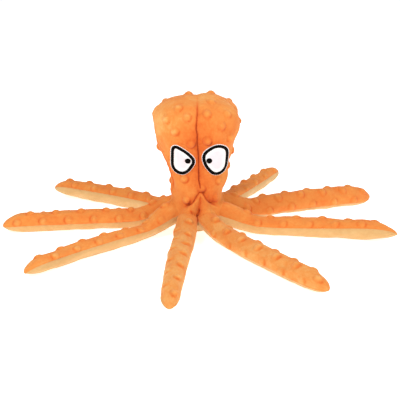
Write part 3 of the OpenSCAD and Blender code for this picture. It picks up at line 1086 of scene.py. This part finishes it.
def make_felt(side, on_face, outline, out):
    """The white of the eye, tucked under the border's middle and turned down at its edge."""
    middle = outline.mean(0)
    radius = np.linalg.norm(outline - middle, axis=1)
    inner = outline - 0.5 * BORDER * out
    loops = [mix(middle, inner, share) for share in FELT_SHARES]
    loops += [outline, outline + 0.4 * out, outline + 0.55 * out]
    lifts = [1.0] * len(FELT_SHARES) + [0.8, 0.55, -0.3]
    grid = even_face(ring_grid(on_face, loops, lifts))
    depth = [(1 - share) * radius + 0.5 * BORDER * share for share in FELT_SHARES]
    depth = np.array(depth + [np.zeros(EYE_POINTS)] * 3)
    tone = smooth((depth - 3.8) / 4.6)
    eye_piece(f"eye_felt_{side}", grid, white_felt, flat_place(grid),
              f"eye_patch_{side}", tone, True)


def make_border(side, on_face, outline, out, length):
    """The satin-stitched border, a rounded ridge of stitches with uneven ends."""
    turns = np.linspace(0, length, EYE_POINTS, endpoint=False)
    ridge = 0.13 * np.abs(np.sin(math.pi * turns / STITCH))
    ends = 0.10 * np.sin(2 * math.pi * turns / (STITCH * 2.7))
    ends += 0.08 * np.sin(2 * math.pi * turns / (STITCH * 1.9))
    loops, lifts = [], []
    for angle in np.linspace(0, math.pi, 11):
        reach = 0.5 * BORDER * (1 - math.cos(angle)) - BORDER
        loops.append(outline + (reach + ends * math.cos(angle))[:, None] * out)
        lifts.append(0.75 + (1.15 + ridge) * math.sin(angle) ** 0.8 - (0.5 if angle in (0, math.pi) else 0))
    grid = ring_grid(on_face, loops, lifts)
    place = np.zeros(grid.shape)
    place[..., 0] = turns * MM
    place[..., 1] = np.linspace(0, BORDER * MM, len(grid))[:, None]
    eye_piece(f"eye_thread_{side}", grid, black_thread, place,
              f"eye_border_{side}")


def make_pupil(side, on_face):
    angles = np.linspace(0, 2 * math.pi, 64, endpoint=False)
    circle = np.column_stack((np.cos(angles), np.sin(angles)))
    loops = [np.array(PUPILS[side]) + PUPIL_RADIUS * share * circle for share, _ in PUPIL_DOME]
    grid = ring_grid(on_face, loops, [lift for _, lift in PUPIL_DOME])
    eye_piece(f"eye_pupil_{side}", grid, black_thread, flat_place(grid),
              f"pupil_{side}", cap=True)


def make_eye(side, on_face):
    outline, out, length = eye_outline(EYES[side])
    make_felt(side, on_face, outline, out)
    make_border(side, on_face, outline, out, length)
    make_pupil(side, on_face)


# ---- build: legs ----
TOP_COLUMNS = 36
BOTTOM_COLUMNS = 24
RING_STEP = 1.15 * MM
SEAM_PINCH = 0.07
SEAM_SPREAD = math.radians(10)
COARSE_RINGS = 66
COARSE_COLUMNS = 24
SEAM_SHADE = math.radians(5)
# Distances along the leg round its root hinge.
HINGE_START = -4 * MM
HINGE_END = 22 * MM
# Distance either way of the curl line.
KNEE_REACH = 20 * MM
LEG_DOT_ROW = 12.5 * MM
# How far across the leg all its rows of dots are moved, in mm.
LEG_DOT_SHIFTS = (0, 0, 0, 0, 0, 0, 0, 3)
# How full the dots are in the side rows and in the middle row.
DOT_SHARES = (
    (0.55, 1), (0.55, 0.6), (0.75, 0.85), (0.65, 0.85),
    (0.8, 0.85), (0.85, 0.85), (0.6, 0.6), (0.4, 1),
)
# How dark the upper and the lower cloth of each leg is; in the upper cloth this is partly painted light,
# paler on legs 1, 7 and 8, which face the light.
LEG_TONES = (-0.20, 0, 0, -0.05, -0.02, -0.02, -0.10, -0.24)
CREAM_TONES = (0, 0.05, -0.05, -0.1, -0.1, 0.05, 0, 0)


def leg_rings(leg):
    """Distances of the leg's rings, closer together where the tip closes."""
    last = leg.length - 14 * MM
    count = int((last + 10 * MM) / RING_STEP)
    tip = last + (leg.length - 0.02 * MM - last) * np.sin(np.linspace(0, math.pi / 2, 16)[1:])
    return np.concatenate((np.linspace(-10 * MM, last, count), tip))


def leg_grid(leg, s, angles):
    """The leg's cloth at distances and angles, pinched in along its two seams."""
    middle, _, across, top = leg.axes(s)
    distance = np.minimum(np.abs(angles), np.abs(angles - math.pi))
    distance = np.minimum(distance, np.abs(angles - 2 * math.pi))
    gather = 1 + 0.15 * np.sin(2 * math.pi * s / (6.5 * MM) + leg.number)[:, None]
    pinch = 1 - SEAM_PINCH * gather * np.exp(-(distance / SEAM_SPREAD) ** 2)
    tuck = (1 - 0.5 * MM * smooth((2 * MM - s) / (10 * MM)) / leg.half_height(s))[:, None]
    width = leg.half_width(s)[:, None] * np.cos(angles) * pinch * tuck
    height = leg.half_height(s)[:, None] * np.sin(angles) * pinch * tuck
    return middle[:, None] + width[..., None] * across[:, None] + height[..., None] * top[:, None]


def leg_place(leg, s, angles):
    place = np.zeros((len(s), len(angles), 3))
    place[..., 0] = s[:, None]
    place[..., 1] = angles * LEG_HALF_WIDTH
    place[..., 2] = leg.number * 0.3
    return place


def leg_dots(leg):
    """The dots of a leg's upper cloth, in staggered rows: place along, place across, fullness."""
    rows = (-1, 0) if leg.number == LEG_COUNT else (-1, 0, 1)
    shift = LEG_DOT_SHIFTS[leg.number - 1] * MM
    side_share, middle_share = DOT_SHARES[leg.number - 1]
    first = 4 * MM + 3.3 * MM * (leg.number * 3 % 7)
    for row in rows:
        begin = first + (DOT_PITCH * MM / 2 if row else 0)
        for place in np.arange(begin, leg.length - 11 * MM, DOT_PITCH * MM):
            yield place, row * LEG_DOT_ROW + shift, side_share if row else middle_share


def leg_swell(leg):
    """The stuffed leg's swelling, on a coarse grid of distances and angles."""
    s = np.linspace(-10 * MM, leg.length - 2 * MM, COARSE_RINGS)
    angles = np.arange(COARSE_COLUMNS) * 2 * math.pi / COARSE_COLUMNS
    grid = leg_grid(leg, s, angles)
    held = np.zeros(grid.shape[:2])
    held[:, 0] = held[:, COARSE_COLUMNS // 2] = 0.9
    held = np.maximum(held, (1 - smooth((s - 6 * MM) / (16 * MM)))[:, None])
    held[-1] = 1
    return s, swell(grid, held, 0.02, 0.9 * MM)


def shape_leg(leg, s, angles, coarse_s, moved, upper):
    """The leg's upper or lower cloth: its grid, normals, own coordinates and tone, with painted shade along
    its seams and round its dots.
    """
    grid = leg_grid(leg, s, angles)
    row = np.interp(s, coarse_s, np.arange(COARSE_RINGS))
    column = angles * COARSE_COLUMNS / (2 * math.pi)
    grid = grid + refine(moved, row, column)
    normals = grid_normals(grid, False)
    fade = smooth((s + 2 * MM) / (14 * MM)) * smooth((leg.length - s) / (10 * MM))
    lift = 0.35 * MM * ripple(grid, 20 + leg.number, 0.021)
    lift = (lift + 0.10 * MM * ripple(grid, 40 + leg.number, 0.006)) * fade[:, None]
    from_seam = np.minimum(angles - angles[0], angles[-1] - angles)
    tone = (LEG_TONES if upper else CREAM_TONES)[leg.number - 1]
    # Painted shade along the leg's two seams.
    tone = np.broadcast_to(tone + 0.22 * valley(from_seam, SEAM_SHADE), lift.shape)
    tone = tone * (smooth(s / (30 * MM))[:, None] * 0.7 + 0.3)
    if upper:
        around = (angles - math.pi / 2) * (LEG_HALF_WIDTH + LEG_HALF_HEIGHT) / 2
        for at, off, share in leg_dots(leg):
            ahead = np.broadcast_to(s[:, None] - at, lift.shape)
            distance = np.hypot(ahead, around - off)
            lift += share * dome(distance)
            # Painted highlight on the dot's top, and painted shade round its foot that is deepest towards
            # the tip.
            tone += (0.4 + 0.6 * share) * dot_painted_shade(distance, ahead)
    grid = grid + normals * lift[..., None]
    grid[..., 2] = np.maximum(grid[..., 2], 0.15 * MM)
    return grid, grid_normals(grid, False), leg_place(leg, s, angles), np.clip(tone, -1, 1)


def make_leg(leg):
    s = leg_rings(leg)
    coarse_s, moved = leg_swell(leg)
    split = int(np.searchsorted(s, SPLIT))
    hinge_start, hinge_end = leg.middle((HINGE_START, HINGE_END))
    bend_start, bend_end = leg.middle((leg.knee_s - KNEE_REACH, leg.knee_s + KNEE_REACH))
    for side, turn, columns, material, slot_name in (
            ("upper", 0, TOP_COLUMNS, orange, "orange_plush"),
            ("lower", math.pi, BOTTOM_COLUMNS, cream, "cream_plush")):
        angles = turn + np.linspace(0, math.pi, columns)
        cloth = shape_leg(leg, s, angles, coarse_s, moved, side == "upper")
        near = [part[:split + 1] for part in cloth]
        far = [part[split:] for part in cloth]
        piece = grid_piece(f"{leg.name}_{side}_near", *near, material)
        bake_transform(piece)
        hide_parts(f"{leg.name}_{side}_inner")
        piece = grid_piece(f"{leg.name}_{side}_far", *far, material)
        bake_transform(piece)
        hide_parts(f"{leg.name}_{side}_outer")


FILM_WAVE = 11 * MM
FILM_SWING = 1.2 * MM
FILM_SHARE = 0.62
FILM_HALF_THICKNESS = 0.25 * MM
# The film starts this far past the curl line and ends this far before the tip.
FILM_START = 14 * MM
FILM_END = 36 * MM


def make_film(leg):
    """The crinkled film between the two cloths, past the curl line."""
    s = np.linspace(leg.knee_s + FILM_START, leg.length - FILM_END, 60)
    middle, _, across, top = leg.axes(s)
    reach = FILM_SHARE * (leg.half_width(s) - 2 * MM)[:, None]
    spots = np.concatenate((np.linspace(-1, 1, 9), np.linspace(1, -1, 9)))
    faces = np.repeat((-FILM_HALF_THICKNESS, FILM_HALF_THICKNESS), 9)
    wave = FILM_SWING * np.sin(2 * math.pi * s / FILM_WAVE)[:, None] * np.cos(2.8 * spots)
    lift = (wave + faces)[..., None] * top[:, None]
    grid = middle[:, None] + (reach * spots)[..., None] * across[:, None] + lift
    piece = closed_piece(f"{leg.name}_crinkle", grid, crinkle, leg_place(leg, s, spots))
    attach(piece, f"{leg.name}_outer")
    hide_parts(f"{leg.name}_film")


# ---- build: underside ----
PATCH_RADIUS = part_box("underside_patch")[1].x
PATCH_ANGLES = np.linspace(0, 2 * math.pi, 96, endpoint=False)
PATCH_OUT = np.column_stack((np.cos(PATCH_ANGLES), -np.sin(PATCH_ANGLES), 0 * PATCH_ANGLES))
# Shares of the patch's radius, and the height of its face there, in mm.
PATCH_PROFILE = (
    (0.02, 0.15), (0.3, 0.2), (0.6, 0.3), (0.8, 0.6), (0.86, 0.8),
    (0.92, 0.9), (0.985, 1.3), (1, 1.7), (0.97, 1.95),
)
STITCH_COUNT = 24
STITCH_SHARE = 0.86


def make_underside():
    """The round patch that closes the underside, crowned towards its middle."""
    grid = np.stack([PATCH_OUT * PATCH_RADIUS * share + UP * level * MM for share, level in PATCH_PROFILE])
    patch = closed_piece("underside_disc", grid, cream, cap=True)
    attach(patch, "hub")
    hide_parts("underside_patch")


def make_stitches():
    """The ring of stitches near the patch's edge."""
    wave = 0.45 * MM + 0.16 * MM * np.abs(np.sin(STITCH_COUNT * PATCH_ANGLES))
    ring = []
    for angle in np.linspace(0, 2 * math.pi, 8, endpoint=False):
        across = PATCH_RADIUS * STITCH_SHARE + wave * 1.1 * math.cos(angle)
        ring.append(PATCH_OUT * across[:, None] + UP * (0.55 * MM + wave * math.sin(angle))[:, None])
    grid = np.stack(ring + [ring[0]])
    place = np.zeros(grid.shape)
    place[..., 0] = PATCH_ANGLES * PATCH_RADIUS
    stitches = closed_piece("underside_stitches", grid, cream_thread, place)
    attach(stitches, "hub")


# ---- build: squeaker ----
FOLD_COUNT = 4
FOLD_DEPTH = 2.6 * MM
BELLOWS_WALL = 0.7 * MM


def make_bellows():
    """The squeaker's folded wall, which shortens when the cap is pressed."""
    low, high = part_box("squeaker_bellows")
    angles = np.linspace(0, 2 * math.pi, 64, endpoint=False)
    out = np.column_stack((np.cos(angles), np.sin(angles), 0 * angles))
    share = np.linspace(1, 0, 8 * FOLD_COUNT + 1)
    levels = mix(low.z + 0.1 * MM, high.z - 0.1 * MM, share)
    reach = high.x - FOLD_DEPTH * (0.5 + 0.5 * np.cos(2 * math.pi * FOLD_COUNT * share))
    wall = [(r, z) for r, z in zip(reach, levels)]
    wall += [(r - BELLOWS_WALL, z) for r, z in reversed(wall)]
    grid = np.stack([out * r + UP * z for r, z in wall + wall[:1]])
    piece = closed_piece("squeaker_folds", grid, plastic)
    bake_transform(piece)
    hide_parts("squeaker_bellows")


def dress_inside():
    """Materials for the CAD nodes that stay as they are, inside the cloth."""
    for part in ("base", "reed", "cap"):
        for slot in frame["nodes"][f"squeaker_{part}"].material_slots:
            slot.material = plastic


# ---- stage ----
FLOOR_HALF = 60
# Name, place in metres, size in metres and power in watts.
LIGHTS = (
    ("key", (-0.65, -0.8, 1.1), 0.55, 12.5),
    ("fill", (1.0, -0.6, 0.8), 0.9, 8),
    ("top", (0.1, 0.5, 1.5), 1.2, 6),
)


def make_floor():
    mesh = bpy.data.meshes.new("floor")
    corners = ((-1, -1), (1, -1), (1, 1), (-1, 1))
    mesh.from_pydata([(x * FLOOR_HALF, y * FLOOR_HALF, 0) for x, y in corners], [], [(0, 1, 2, 3)])
    mesh.materials.append(Surface("floor").finish((
        ("Base Color", (0.95, 0.95, 0.95, 1)), ("Roughness", 0.9),
        ("Emission Color", (1, 1, 1, 1)), ("Emission Strength", 0.7))))
    add_object("floor", mesh)


def light_studio():
    bpy.context.scene.view_settings.view_transform = "Standard"
    world = bpy.data.worlds.new("studio")
    bpy.context.scene.world = world
    world.use_nodes = True
    background = world.node_tree.nodes["Background"]
    background.inputs["Color"].default_value = (1, 1, 1, 1)
    background.inputs["Strength"].default_value = 0.34
    for name, place, size, power in LIGHTS:
        light = bpy.data.lights.new(name, "AREA")
        light.size = size
        light.energy = power
        lamp = add_object(name, light)
        lamp.location = place
        lamp.rotation_mode = "QUATERNION"
        lamp.rotation_quaternion = (CAMERA_TARGET - Vector(place)).to_track_quat("-Z", "Y")


make_camera()
make_floor()
light_studio()
body = make_body()
find_face = face_finder(body)
for side in EYES:
    make_eye(side, find_face)
for leg in legs:
    make_leg(leg)
    make_film(leg)
make_underside()
make_stitches()
make_bellows()
dress_inside()
